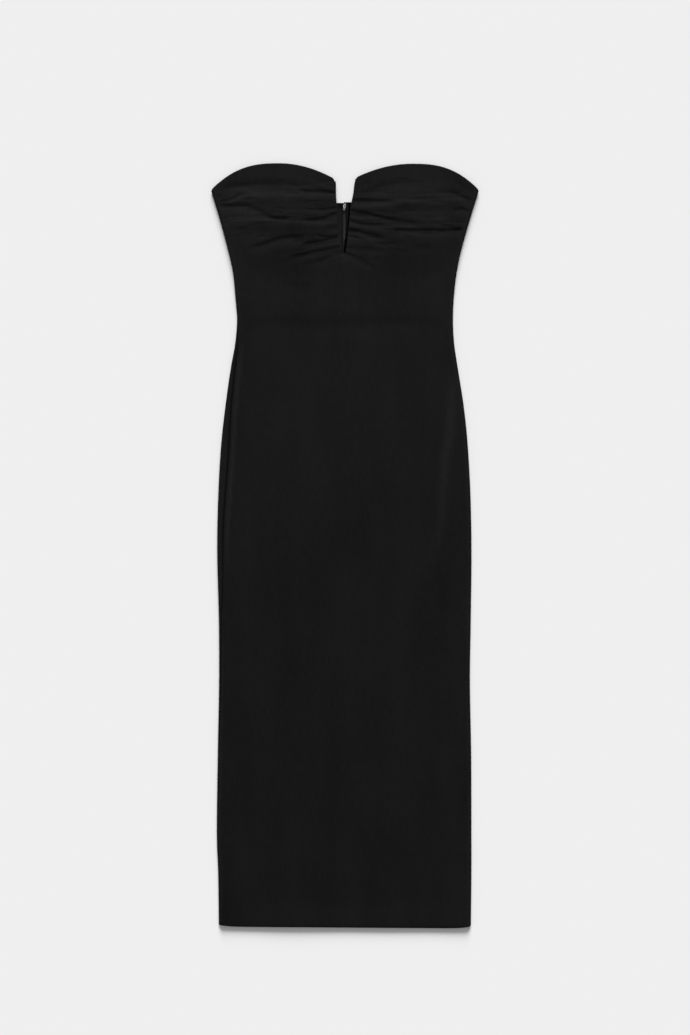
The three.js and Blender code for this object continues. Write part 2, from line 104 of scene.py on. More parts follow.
# Gathers of the bust, from the neck edge down: the shadow line that shows, the rise of the crest or
# trough below it, and the shadow's spread above and below
gathersRight = [
    gather([(-198, 545), (-187, 551), (-170, 556), (-140, 560), (-110, 560), (-80, 558), (-54, 552)],
            -1.8, 5, 9),
    gather([(-74, 549.5), (-60, 546.5), (-45, 546), (-30, 545.5), (-10, 542.5)], -1.3, 2, 4, 0.25, 0.02),
    gather([(-50, 557), (-38, 555), (-28, 552), (-10, 547)], 0.6, 2.2, 3, 0.3, 0.05),
    gather([(-196, 545), (-175, 547.5), (-160, 548), (-145, 545), (-130, 541), (-110, 540), (-85, 540),
            (-60, 541), (-6, 540)], 1, 3, 7, 0.15, 0.02),
    gather([(-212, 536.5), (-196, 537.5), (-184, 539)], -1, 1.6, 3, 0.1, 0.5),
    gather([(-196, 531), (-185, 531.5), (-178, 533), (-170, 536), (-163, 540), (-154, 544.5)], -0.8, 1.6, 3),
    gather([(-194, 528), (-180, 528.5), (-172, 530), (-160, 535), (-150, 538), (-135, 538), (-114, 535)],
            0.8, 2.2, 4.5),
    gather([(-196, 525), (-180, 525), (-170, 526), (-160, 526), (-150, 524), (-140, 521), (-130, 516),
            (-120, 511), (-110, 506), (-100, 504.5), (-80, 504.5)], -1.5, 3.2, 6, 0.06, 0.15),
    gather([(-194, 525), (-181, 525.2), (-168, 525.5)], -0.8, 1.5, 2.5, 0.2, 0.4),
    gather([(-120, 510), (-110, 505.5), (-100, 504), (-82, 504.5)], -0.6, 1.6, 3, 0.35, 0.25),
    gather([(-116, 516.5), (-104, 515.5), (-92, 514)], -0.5, 2, 3, 0.4, 0.4),
    gather([(-184, 498), (-165, 500.5), (-150, 501), (-135, 502), (-120, 501.5), (-100, 499.5), (-85, 498),
            (-60, 498), (-30, 497), (0, 499)], 0.75, 1.8, 6, 0.1, 0.02),
    gather([(-68, 501), (-50, 502.5), (-40, 504), (-30, 506.5), (-22, 510), (-8, 515)],
            -1.4, 1.9, 4, 0.22, 0.1),
    gather([(-66, 516.5), (-50, 514), (-35, 513), (-25, 514), (-8, 519.5)], 0.6, 2.5, 4, 0.3, 0.1),
    gather([(-44, 517.5), (-32, 518), (-24, 519.5), (-8, 522)], -0.9, 1.8, 3, 0.25, 0.2),
    gather([(-32, 491.5), (-18, 491.5), (-2, 491.5)], -0.5, 2, 4, 0.3, 0.1),
    gather([(-170, 488), (-125, 489), (-90, 488), (-66, 483)], -1, 7, 9),
    gather([(-158, 457), (-140, 461.5), (-130, 464), (-120, 467.5), (-110, 471), (-100, 474), (-90, 476),
            (-80, 476.5), (-68, 476.5), (-54, 480)], -1.6, 2.4, 5, 0.38, 0.2),
    gather([(-46, 479.5), (-36, 477.5), (-26, 476.5), (-14, 478)], -0.7, 1.5, 2.5, 0.3, 0.3),
    gather([(-70, 464), (-50, 468), (-42, 469.5), (-30, 471.5), (-20, 474.5), (-4, 479)],
            -1.5, 2, 4, 0.25, 0.04),
    gather([(-90, 445.5), (-65, 449.5), (-52, 453.5), (-40, 455.5), (-25, 458), (-2, 463)],
            -1.1, 2, 4, 0.25, 0.04),
    gather([(-52, 438), (-35, 441.5), (-28, 445), (-20, 449), (-14, 451.5), (2, 453.5)],
            -1, 2, 4, 0.25, 0.08),
    gather([(-198, 504.5), (-188, 504.5), (-176, 505)], -0.7, 1.3, 2, 0.1, 0.5),
    gather([(-196, 498), (-186, 498), (-172, 498.5)], -0.7, 1.3, 2, 0.1, 0.5),
    gather([(-102, 404), (-72, 403), (-44, 399)], -1, 5, 8, 0.3, 0.3),
]
gathersLeft = [
    gather([(28, 547), (40, 551), (50, 554), (60, 557), (75, 560), (90, 562), (114, 562)], -1.2, 4, 7),
    gather([(6, 532.8), (30, 532), (45, 531.5), (60, 531.5), (82, 530)], -1.3, 1.9, 4, 0.12, 0.25),
    gather([(-4, 521), (30, 522.5), (50, 525), (65, 527.5), (80, 529.5), (92, 530.5), (110, 529.5),
            (135, 530), (150, 532), (162, 533.5), (188, 532)], 1, 2.8, 6, 0.03, 0.12),
    gather([(78, 529.3), (90, 530.3), (102, 530)], 0.5, 2, 4, 0.4, 0.4),
    gather([(158, 547), (172, 541.5), (180, 538), (188, 535), (206, 531)], -1.3, 2.5, 4, 0.3, 0.1),
    gather([(140, 548), (160, 546.5), (186, 547)], -0.8, 4, 5, 0.4, 0.2),
    gather([(166, 564), (182, 555), (202, 543)], -0.8, 4, 5, 0.3, 0.1),
    gather([(-4, 520.5), (12, 517), (20, 515), (35, 512), (50, 508.5), (60, 505.5), (70, 503), (80, 500.5),
            (90, 499), (105, 498.5), (126, 496)], -1.6, 2.1, 5, 0.02, 0.22),
    gather([(70, 520), (110, 524), (160, 521)], -1.1, 6, 9, 0.35, 0.3),
    gather([(162, 516), (173, 518.5), (180, 519.5), (196, 512)], -1.1, 1.8, 3, 0.25, 0.2),
    gather([(0, 512), (16, 509.5), (36, 507)], -0.7, 1.3, 2.2, 0.05, 0.4),
    gather([(-2, 506), (10, 501.5), (20, 498), (28, 496.5), (45, 495.5), (70, 497)],
            -1.1, 1.8, 3, 0.03, 0.3),
    gather([(-4, 488), (8, 487), (20, 486), (28, 483.5), (38, 481), (48, 478.5), (68, 472)],
            -1.5, 2, 4, 0.03, 0.3),
    gather([(0, 494), (14, 493), (30, 490.5)], 0.5, 2, 3, 0.05, 0.4),
    gather([(70, 487.5), (85, 486.5), (100, 487), (118, 486.5), (138, 487)], -1.5, 1.9, 4.5, 0.15, 0.25),
    gather([(114, 486), (132, 486.5), (150, 486.5), (165, 487.5), (198, 490)], -1.5, 1.9, 4.5, 0.25, 0.08),
    gather([(54, 491.5), (80, 491), (114, 490.5)], 0.4, 1.3, 2.5, 0.3, 0.3),
    gather([(-4, 480), (12, 477.5), (28, 475)], -0.6, 1.5, 2.5, 0.05, 0.4),
    gather([(30, 475.5), (42, 476), (58, 473.5)], -0.5, 1.5, 2.5, 0.4, 0.4),
    gather([(42, 466.5), (54, 466), (66, 462.5)], -0.6, 2, 3, 0.4, 0.4),
    gather([(-2, 463), (12, 460), (40, 458.5), (72, 455.5)], -0.7, 2.5, 4, 0.05, 0.4),
    gather([(94, 463.5), (118, 461.5), (144, 461)], -0.6, 3, 5, 0.4, 0.4),
    gather([(-6, 456.5), (5, 451), (12, 447.5), (20, 443.5), (30, 440), (48, 431)], -1.2, 2, 4, 0.04, 0.35),
]
# Slack cloth below: the band at the waist, and the ridge that falls from the wearer's left hip
hipRidge = fold([(164, 290), (165, 239), (161, 179), (153.5, 133), (150, 87), (147.5, 41), (140, -5),
                 (118, -60), (106, -100)], 1, 9, 14)
slackFolds = [fold([(-124, 347), (0, 346), (70, 351), (128, 349)], -0.6, 13, 14, 0.15, 0.15), hipRidge]
print("tables ready:", len(gathersRight) + len(gathersLeft) + len(slackFolds), "folds")


def smooth(t):
    t = np.clip(t, 0.0, 1.0)
    return t * t * (3.0 - 2.0 * t)


def mix(a, b, t):
    return a + (b - a) * t


def curveThrough(xs, ys, at):  # smooth value along points that run one way in x
    xs, ys = np.asarray(xs, float), np.asarray(ys, float)
    if xs[0] > xs[-1]:
        xs, ys = xs[::-1], ys[::-1]
    at = np.clip(at, xs[0], xs[-1])
    slopes = np.empty_like(ys)
    slopes[1:-1] = (ys[2:] - ys[:-2]) / (xs[2:] - xs[:-2])
    slopes[0] = (ys[1] - ys[0]) / (xs[1] - xs[0])
    slopes[-1] = (ys[-1] - ys[-2]) / (xs[-1] - xs[-2])
    k = np.clip(np.searchsorted(xs, at, side="right") - 1, 0, len(xs) - 2)
    span = xs[k + 1] - xs[k]
    t = (at - xs[k]) / span
    return (
        (1 + 2 * t) * (1 - t) ** 2 * ys[k] + t * (1 - t) ** 2 * span * slopes[k]
        + t * t * (3 - 2 * t) * ys[k + 1] - t * t * (1 - t) * span * slopes[k + 1]
    )


def cupEdge(side, x):  # neck edge of a cup, as a height over the distance from the middle
    cup = cupTops[side]
    out = x > cup["apexX"]
    run = np.where(out, cut["cornerX"], cup["notchX"]) - cup["apexX"]
    drop = cup["apexY"] - np.where(out, cut["cornerY"], cup["notchY"])
    share = np.abs((x - cup["apexX"]) / run)
    return cup["apexY"] - drop * np.where(out, share ** cut["cupPower"], share ** 2)


def neckEdge(side, x):  # neck edge of the back
    return mix(cut["backNeck" + side.capitalize()], cut["cornerY"], (x / cut["cornerX"]) ** 2)


def hemEdge(x):
    share = x / cut["hemHalf"]
    corner = cut["hemCornerLift"] * np.abs(share) ** cut["hemCornerPower"]
    return cut["hemY"] + cut["hemSlant"] * share + corner


def edgeRadius(y):
    share = smooth((y - cut["waistY"]) / cut["radiusRun"])
    return mix(cut["skirtRadius"], cut["bustRadius"], share)


def hemTurned(y):  # 1 where the cloth is doubled by the hem's turn, 0 above it
    return smooth((cut["hemTurnY"] - y) / cut["hemTurnSoft"] + 0.5)


def plainWall(y):  # lined above the waist, thicker at the bust, turned up at the hem
    lining = smooth((y - cut["waistY"]) / cut["liningFade"] + 0.5)
    lined = mix(cut["skirtWall"], cut["bodiceWall"], lining)
    bustShare = smooth((y - cut["underBustY"]) / (cut["bustY"] - cut["underBustY"]))
    bust = (cut["bustWall"] - cut["bodiceWall"]) * bustShare
    return lined + bust + cut["hemTurnWall"] * hemTurned(y)


def edgeWall(y):
    return np.minimum(plainWall(y), edgeRadius(y) - cut["leastBend"])


def cupBump(x, y):
    across = (np.abs(x) - cut["cupX"]) / cut["cupHalfWidth"]
    up = (y - cut["cupY"]) / cut["cupHalfHeight"]
    return np.clip(1 - across ** 2 - up ** 2, 0, 1) ** 2


def restHeight(x, y):  # the front's underside, on the back, over the zip and under the cups
    overZip = cut["zipMound"] / (1 + ((x - cut["zipX"]) / cut["zipMoundHalf"]) ** 4)
    zipShare = smooth((y - cut["zipEnd"] + cut["zipFade"]) / cut["zipFade"])
    return (cut["backWall"] + cut["layGap"] + overZip * zipShare
            + cut["cupInnerRise"] * cupBump(x, y))


def frontWall(x, y):
    return plainWall(y) + cut["cupFill"] * cupBump(x, y)


steepest = 0.7  # where the side of a fold is steepest, as a share of its spread


def foldRise(folds, x, y):
    rise = np.zeros_like(x)
    for f in folds:
        px, py = np.array(f["points"], float).T
        lengthways = abs(px[-1] - px[0]) < abs(py[-1] - py[0])
        at, off, run, line = (y, x, py, px) if lengthways else (x, y, px, py)
        off = off - curveThrough(run, line, at) + (0 if lengthways else steepest * f["above"])
        along = (at - run[0]) / (run[-1] - run[0])
        ends = smooth(along / f["start"]) * smooth((1 - along) / f["finish"])
        rise += f["rise"] * ends * np.exp(-((off / np.where(off > 0, f["above"], f["below"])) ** 2))
    return rise


fineFoldValues = {
    "seed": 11, "perCup": 80, "depth": (0.12, 0.45), "spread": (1.3, 3.4), "length": (14, 60), "ends": 0.4,
    "from": 10, "reach": 175, "crowd": 1.4, "near": 110, "nearY": (432, 566), "farY": (470, 560),
    "slope": -0.34, "slopeTop": 525, "slopeRun": 80, "slopeReach": 230, "slopeVaries": 0.05, "bow": 1.2,
}


def fineFolds(values):  # small wrinkles between the gathers, which fan from the notch as they do
    rng = np.random.default_rng(values["seed"])
    made = []
    for sign in signOf.values():
        for _ in range(values["perCup"]):
            x = values["from"] + values["reach"] * rng.random() ** values["crowd"]
            y = rng.uniform(*values["nearY" if x < values["near"] else "farY"])
            half = rng.uniform(*values["length"]) / 2
            fan = float(smooth((values["slopeTop"] - y) / values["slopeRun"]))
            slope = values["slope"] * fan * (1 - x / values["slopeReach"])
            slope += rng.normal(0, values["slopeVaries"])
            bow = rng.normal(0, values["bow"])
            ends = [(sign * (x + k * half), y + slope * k * half + (0 if k else bow)) for k in (-1, 0, 1)]
            rise = rng.choice([-1, -1, 1]) * rng.uniform(*values["depth"])
            above, below = rng.uniform(*values["spread"], 2)
            made.append(fold(sorted(ends), rise, above, below, values["ends"], values["ends"]))
    return made


driftValues = {"seed": 5, "waves": 9, "rise": 0.15, "longest": 330.0, "shortest": 90.0}


def drift(values, x, y):  # slow unevenness of cloth that was smoothed out by hand
    rng = np.random.default_rng(values["seed"])
    rise = np.zeros_like(x)
    for _ in range(values["waves"]):
        turn, start = rng.uniform(0, math.pi), rng.uniform(0, 2 * math.pi)
        length = rng.uniform(values["shortest"], values["longest"])
        along = x * math.cos(turn) + y * math.sin(turn)
        rise += values["rise"] * np.sin(along * 2 * math.pi / length + start)
    return rise


seamValues = {"dip": 1.3, "dipSpread": 1.3, "allowanceRise": 0.9, "allowanceFrom": 0.6, "allowanceTo": 11,
              "nearRun": 2, "farRun": 8}


def seamArc(side, y):  # where the side seam lies, from the outermost point up over the top
    strip = np.maximum(curveThrough(sideStrip["y"], sideStrip[side], y), 0)
    radius = edgeRadius(y)
    rolled = radius * np.arccos(np.clip(1 - strip / radius, -1, 1))
    return np.where(strip < radius, rolled, (math.pi / 2 - 1) * radius + strip)


def insetAt(y, arc):  # how far in from the outline an arc of the section lies
    radius = edgeRadius(y)
    flat = np.abs(arc) - math.pi / 2 * radius
    return np.where(flat >= 0, radius + flat, radius * (1 - np.cos(arc / radius)))


def clothAt(side, halfWidth, arc, y, lineY, lift):
    sign = signOf[side]
    radius = edgeRadius(lineY)
    quarter = math.pi / 2 * radius
    x = sign * (halfWidth - insetAt(lineY, arc))
    turn = np.clip(arc, -quarter, quarter) / radius
    settled = smooth((np.abs(arc) - quarter) / (cut["rollReach"] - quarter))
    above = arc > 0
    laidZ = mix(2 * radius, restHeight(x, y) + frontWall(x, y), settled)
    z = np.where(np.abs(arc) > quarter, np.where(above, laidZ, 0.0), radius * (1 + np.sin(turn)))
    thick = mix(edgeWall(lineY), np.where(above, frontWall(x, y), cut["backWall"]), settled)
    seamOff = arc - seamArc(side, lineY)
    seamDip = -seamValues["dip"] * np.exp(-((seamOff / seamValues["dipSpread"]) ** 2))
    near = smooth((seamOff - seamValues["allowanceFrom"]) / seamValues["nearRun"])
    band = near * smooth((seamValues["allowanceTo"] - seamOff) / seamValues["farRun"])
    outerX = x + sign * np.cos(turn) * seamDip * above
    outerZ = z + np.sin(turn) * seamDip * above
    topShare = smooth((arc - quarter) / cut["topRun"])
    outerZ = outerZ + topShare * (seamValues["allowanceRise"] * band + lift(x, y))
    curl = topShare * cut["hemCurl"] * hemTurned(y)
    outerZ = outerZ + curl
    innerX = x - sign * np.cos(turn) * thick
    innerZ = z - np.sin(turn) * thick + curl
    innerZ = np.where(above & (arc > quarter), np.minimum(innerZ, outerZ - cut["leastWall"]), innerZ)
    return np.stack([outerX, y, outerZ], -1), np.stack([innerX, y, innerZ], -1)


def addObject(name, data):
    made = bpy.data.objects.new(name, data)
    bpy.context.scene.collection.objects.link(made)
    return made


def meshObject(name, points, faces, material):
    mesh = bpy.data.meshes.new(name)
    mesh.from_pydata((np.asarray(points) * mm).tolist(), [], faces)
    mesh.update()
    mesh.polygons.foreach_set("use_smooth", [True] * len(mesh.polygons))
    mesh.materials.append(material)
    return addObject(name, mesh)


def pointsOf(piece):  # a row for each point, in millimetres
    places = np.empty(len(piece.data.vertices) * 3)
    piece.data.vertices.foreach_get("co", places)
    return places.reshape(-1, 3) / mm


def paintShade(piece, shadeAt):  # painted light and shade: how much lighter, or darker below 0, the colour is at each point
    x, y, z = pointsOf(piece).T
    layer = piece.data.attributes.new("shade", "FLOAT", "POINT")
    layer.data.foreach_set("value", shadeAt(x, y, z).astype(np.float32))


def closedWall(outer, inner, bulge, quads, rimSteps=3):
    # a wall from outer and inner points: its open edges get a rim, which the bulge rounds out
    used, quads = np.unique(quads, return_inverse=True)
    quads = quads.reshape(-1, 4)
    outer, inner, bulge = outer[used], inner[used], bulge[used]
    count = len(outer)
    starts, ends = quads.ravel(), np.roll(quads, -1, axis=1).ravel()
    there, back = starts * count + ends, ends * count + starts
    rim = ~np.isin(there, back)
    starts, ends = starts[rim], ends[rim]
    rimPoints = np.unique(starts)
    rings = [np.arange(count)]
    points = [outer, inner]
    total = 2 * count
    for step in range(1, rimSteps + 1):
        turn = math.pi * step / (rimSteps + 1)
        middle = (outer[rimPoints] + inner[rimPoints]) / 2
        half = (outer[rimPoints] - inner[rimPoints]) / 2
        points.append(middle + half * math.cos(turn) + bulge[rimPoints] * math.sin(turn))
        ring = np.zeros(count, int)
        ring[rimPoints] = total + np.arange(len(rimPoints))
        rings.append(ring)
        total += len(rimPoints)
    rings.append(np.arange(count) + count)
    faces = [quads, quads[:, ::-1] + count]
    for near, far in zip(rings, rings[1:]):
        faces.append(np.stack([near[ends], near[starts], far[starts], far[ends]], -1))
    return np.concatenate(points), np.concatenate(faces).tolist()


def gridQuads(numbers, flip):
    corners = [numbers[:-1, :-1], numbers[1:, :-1], numbers[1:, 1:], numbers[:-1, 1:]]
    quads = np.stack(corners, -1).reshape(-1, 4)
    return quads[:, ::-1] if flip else quads


frontValues = {
    "bustRows": 180, "rollColumns": 15, "rollCloser": 1.5, "flatColumns": 66, "closer": 1.35, "rimFade": 6,
    "rowSteps": [(446.5, 400, 2.4), (400, 300, 6), (300, -540, 20), (-540, -580, 2)],
    "backBustRows": 20, "backRollColumns": 12, "backFlatColumns": 12,
}


def straightRowHeights(values, finish):
    rows = []
    for top, foot, step in values["rowSteps"]:
        rows.extend(np.linspace(top, foot, max(int((top - foot) / step), 1), endpoint=False).tolist())
    return np.array(rows[1:] + [finish])


def rowLines(values, count):  # rows at the side seam: they fan in above the notch's foot and lie level below
    share = np.linspace(0, 1, count)
    level = straightRowHeights(values, cut["hemY"] + cut["foldEdge"])
    fanned = mix(cut["cornerY"] - cut["foldEdge"], notch["y"][-1], share)
    return share, level, np.concatenate([fanned, level])


def rowHeights(topY, share, level, hemX, hemShort):  # height of every point of those rows
    fanned = mix(topY[None, :], notch["y"][-1], share[:, None])
    straight = np.repeat(level[:, None], len(topY), 1)
    straight[-1] = hemEdge(hemX) + hemShort
    return np.concatenate([fanned, straight])


def frontArcs(side, halfWidth, lineY, endX, values):
    start = seamArc(side, lineY) + cut["seamGap"] / 2
    shares = np.linspace(0, 1, values["rollColumns"]) ** values["rollCloser"]
    rolled = start[:, None] + (cut["rollReach"] - start)[:, None] * shares
    run = halfWidth - insetAt(lineY, cut["rollReach"]) - endX
    steps = np.arange(1, values["flatColumns"] + 1) / values["flatColumns"]
    steps = 1 - (1 - steps) ** values["closer"]  # columns stand closer together beside the notch
    return np.concatenate([rolled, cut["rollReach"] + run[:, None] * steps], 1)


def cornerDrop(away, radius):  # how far a rounded corner lies below the edge's line
    near = np.clip(1 - away / radius, 0, 1)
    return radius * (1 - np.sqrt(1 - near ** 2))


def frontHalf(side, values, lift):
    share, level, lineY = rowLines(values, values["bustRows"] + 1)
    notchEdge = cupTops[side]["notchX"] + cut["foldEdge"]
    notchY = mix(float(cupEdge(side, notchEdge)) - cupTops[side]["corner"], notch["y"][-1], share)
    rimShare = np.minimum(1, (1 - share) * values["rimFade"])  # the rim thins out at the notch's foot
    endX = curveThrough(notch["y"], notch[side], notchY) + cut["foldEdge"] * rimShare
    endX = np.concatenate([endX, np.full(len(level), signOf[side] * notch["left"][-1])])
    halfWidth = curveThrough(outline["y"], outline[side], lineY)
    arcs = frontArcs(side, halfWidth, lineY, endX, values)
    insets = insetAt(lineY[:, None], arcs)
    topX = halfWidth[0] - insets[0]
    topY = cupEdge(side, topX) - cut["foldEdge"] - cornerDrop(topX - notchEdge, cupTops[side]["corner"])
    y = rowHeights(topY, share, level, signOf[side] * (halfWidth[-1] - insets[-1]), cut["foldEdge"])
    outer, inner = clothAt(side, halfWidth[:, None], arcs, y, lineY[:, None], lift)
    bulge = np.zeros_like(outer)
    bulge[:len(share), -1, 0] = -signOf[side] * cut["foldEdge"] * rimShare
    bulge[0, :, 1] = cut["foldEdge"]
    bulge[-1, :, 1] = -cut["foldEdge"]
    return outer, inner, bulge, len(share) - 1


def makeFront(values, material):
    folds = gathersRight + gathersLeft + slackFolds + fineFolds(fineFoldValues)

    def lift(x, y):
        return foldRise(folds, x, y) + drift(driftValues, x, y)

    halves = [frontHalf(side, values, lift) for side in signOf]
    outer, inner, bulge = [np.concatenate([h[k].reshape(-1, 3) for h in halves]) for k in range(3)]
    shape = halves[0][0].shape[:2]
    numbers = [np.arange(shape[0] * shape[1]).reshape(shape) + k * shape[0] * shape[1] for k in (0, 1)]
    numbers[1][halves[0][3]:, -1] = numbers[0][halves[0][3]:, -1]  # one middle line below the notch
    quads = np.concatenate([gridQuads(numbers[0], False), gridQuads(numbers[1], True)])
    points, faces = closedWall(outer, inner, bulge, quads)
    return meshObject("dressFront", points, faces, material)


def makeBack(side, values, material):
    share, level, lineY = rowLines(values, values["backBustRows"])
    halfWidth = curveThrough(outline["y"], outline[side], lineY)
    start = seamArc(side, lineY) - cut["seamGap"] / 2
    under = -math.pi / 2 * edgeRadius(lineY)
    rolled = start[:, None] + (under - start)[:, None] * np.linspace(0, 1, values["backRollColumns"])
    endX = signOf[side] * cut["zipX"] + cut["seamGap"] / 2
    run = halfWidth - edgeRadius(lineY) - endX
    steps = np.arange(1, values["backFlatColumns"] + 1) / values["backFlatColumns"]
    arcs = np.concatenate([rolled, under[:, None] - run[:, None] * steps], 1)
    insets = insetAt(lineY[:, None], arcs)
    topY = neckEdge(side, halfWidth[0] - insets[0]) - cut["foldEdge"]
    hemX = signOf[side] * (halfWidth[-1] - insets[-1])
    y = rowHeights(topY, share, level, hemX, cut["foldEdge"] + cut["backShort"])
    outer, inner = clothAt(side, halfWidth[:, None], arcs, y, lineY[:, None], lambda x, y: np.zeros_like(x))
    bulge = np.zeros_like(outer)
    bulge[0, :, 1] = cut["foldEdge"] / 2
    bulge[-1, :, 1] = -cut["foldEdge"] / 2
    numbers = np.arange(y.size).reshape(y.shape)
    quads = gridQuads(numbers, signOf[side] < 0)
    points, faces = closedWall(outer.reshape(-1, 3), inner.reshape(-1, 3), bulge.reshape(-1, 3), quads)
    return meshObject("dressBack" + side.capitalize(), points, faces, material)


# Shader groups
def setInputs(node, values):
    for label, value in values.items():
        node.inputs[label].default_value = value


def newGroup(name, scales, outputs):  # a vector and scales come in, and values go out
    group = bpy.data.node_groups.new(name, "ShaderNodeTree")
    face = group.interface
    face.new_socket("Vector", in_out="INPUT", socket_type="NodeSocketVector")
    for label, scale in scales.items():
        face.new_socket(label, in_out="INPUT", socket_type="NodeSocketFloat").default_value = scale
    for label in outputs:
        face.new_socket(label, in_out="OUTPUT", socket_type="NodeSocketFloat")
    return group, group.nodes.new("NodeGroupInput"), group.nodes.new("NodeGroupOutput")


def mathNode(tree, operation, a, b=None, c=None):
    node = tree.nodes.new("ShaderNodeMath")
    node.operation = operation
    for k, value in enumerate((a, b, c)):
        if value is None:
            continue
        if isinstance(value, (int, float)):
            node.inputs[k].default_value = value
        else:
            tree.links.new(value, node.inputs[k])
    return node.outputs[0]


def noiseNode(tree, vector, scale, detail=2.0, roughness=0.5):
    node = tree.nodes.new("ShaderNodeTexNoise")
    tree.links.new(vector, node.inputs["Vector"])
    setInputs(node, {"Detail": detail, "Roughness": roughness})
    if isinstance(scale, (int, float)):
        setInputs(node, {"Scale": scale})
    else:
        tree.links.new(scale, node.inputs["Scale"])
    return node.outputs["Fac"]


def buildCrepeGroup():
    scales = {"Grain Scale": 1700.0, "Yarn Scale": 2300.0, "Shade Scale": 16.0, "Mottle Scale": 330.0}
    group, given, made = newGroup("crepeGrain", scales, ["Height", "Shade", "Fuzz"])
    vector = given.outputs["Vector"]
    pebble = noiseNode(group, vector, given.outputs["Grain Scale"], 3.0, 0.6)
    stretch = group.nodes.new("ShaderNodeMapping")
    setInputs(stretch, {"Scale": (1.0, 0.22, 1.0)})
    group.links.new(vector, stretch.inputs["Vector"])
    yarn = noiseNode(group, stretch.outputs["Vector"], given.outputs["Yarn Scale"], 1.0, 0.4)
    height = mathNode(group, "MULTIPLY_ADD", yarn, 0.45, pebble)
    # random tone in streaks along the length and a finer mottle; the streaks are partly painted shade, of
    # faint lengthways ripples
    streak = noiseNode(group, stretch.outputs["Vector"], given.outputs["Shade Scale"], 2.0, 0.55)
    mottle = noiseNode(group, stretch.outputs["Vector"], given.outputs["Mottle Scale"], 2.0, 0.5)
    shade = mathNode(group, "MULTIPLY_ADD", streak, 0.55, mathNode(group, "MULTIPLY", mottle, 0.45))
    group.links.new(height, made.inputs["Height"])
    group.links.new(shade, made.inputs["Shade"])
    group.links.new(pebble, made.inputs["Fuzz"])
    return group


def buildWornGroup():
    group, given, made = newGroup("wornMetal", {"Scratch Scale": 900.0}, ["Height", "Wear"])
    stretch = group.nodes.new("ShaderNodeMapping")
    setInputs(stretch, {"Rotation": (0.0, 0.0, 0.35), "Scale": (1.0, 0.06, 1.0)})
    group.links.new(given.outputs["Vector"], stretch.inputs["Vector"])
    scratch = noiseNode(group, stretch.outputs["Vector"], given.outputs["Scratch Scale"], 2.0, 0.6)
    blotch = noiseNode(group, given.outputs["Vector"], 260.0, 2.0, 0.5)
    wear = mathNode(group, "MULTIPLY", scratch, blotch)
    group.links.new(scratch, made.inputs["Height"])
    group.links.new(wear, made.inputs["Wear"])
    return group


crepeGroup = buildCrepeGroup()
wornGroup = buildWornGroup()


def groupIn(tree, group, values):
    node = tree.nodes.new("ShaderNodeGroup")
    node.node_tree = group
    coordinates = tree.nodes.new("ShaderNodeTexCoord")
    tree.links.new(coordinates.outputs["Object"], node.inputs["Vector"])
    setInputs(node, values)
    return node


noiseRange = (0.3, 0.7)  # where most of a noise's values lie


def spread(tree, value, low, high):
    node = tree.nodes.new("ShaderNodeMapRange")
    tree.links.new(value, node.inputs["Value"])
    setInputs(node, {"From Min": noiseRange[0], "From Max": noiseRange[1], "To Min": low, "To Max": high})
    return node.outputs["Result"]


mixColours = (6, 7)  # the two colour sockets of a mix node


def colourBetween(tree, share, dark, light):
    node = tree.nodes.new("ShaderNodeMix")
    node.data_type = "RGBA"
    tree.links.new(share, node.inputs["Factor"])
    for k, colour in zip(mixColours, (dark, light)):
        node.inputs[k].default_value = (*colour, 1.0)
    return node.outputs[2]


def bumpFrom(tree, height, strength, distance):
    node = tree.nodes.new("ShaderNodeBump")
    setInputs(node, {"Strength": strength, "Distance": distance})
    tree.links.new(height, node.inputs["Height"])
    return node.outputs["Normal"]


def scaledBy(tree, colour, share):
    node = tree.nodes.new("ShaderNodeVectorMath")
    node.operation = "SCALE"
    tree.links.new(colour, node.inputs[0])
    tree.links.new(share, node.inputs["Scale"])
    return node.outputs[0]


leastLit = 0.02  # share of its light that the darkest cloth keeps


def clothMaterial(name, values):
    material = bpy.data.materials.new(name)
    material.use_nodes = True
    tree = material.node_tree
    shader = tree.nodes["Principled BSDF"]
    grain = groupIn(tree, crepeGroup, values["grain"])
    shade = spread(tree, grain.outputs["Shade"], 0.0, 1.0)
    # painted light and shade: the shade attribute scales the colour, gloss and sheen
    paintedLight = tree.nodes.new("ShaderNodeAttribute")
    paintedLight.attribute_name = "shade"
    lit = mathNode(tree, "MAXIMUM", mathNode(tree, "ADD", paintedLight.outputs["Fac"], 1.0), leastLit)
    colour = scaledBy(tree, colourBetween(tree, shade, values["dark"], values["light"]), lit)
    tree.links.new(colour, shader.inputs["Base Color"])
    tree.links.new(mathNode(tree, "MULTIPLY", lit, values["specular"]), shader.inputs["Specular IOR Level"])
    tree.links.new(mathNode(tree, "MULTIPLY", lit, values["sheen"]), shader.inputs["Sheen Weight"])
    tree.links.new(spread(tree, grain.outputs["Fuzz"], *values["roughness"]), shader.inputs["Roughness"])
    normal = bumpFrom(tree, grain.outputs["Height"], values["bump"], values["bumpDistance"])
    tree.links.new(normal, shader.inputs["Normal"])
    setInputs(shader, {"Sheen Roughness": 0.45})
    return material


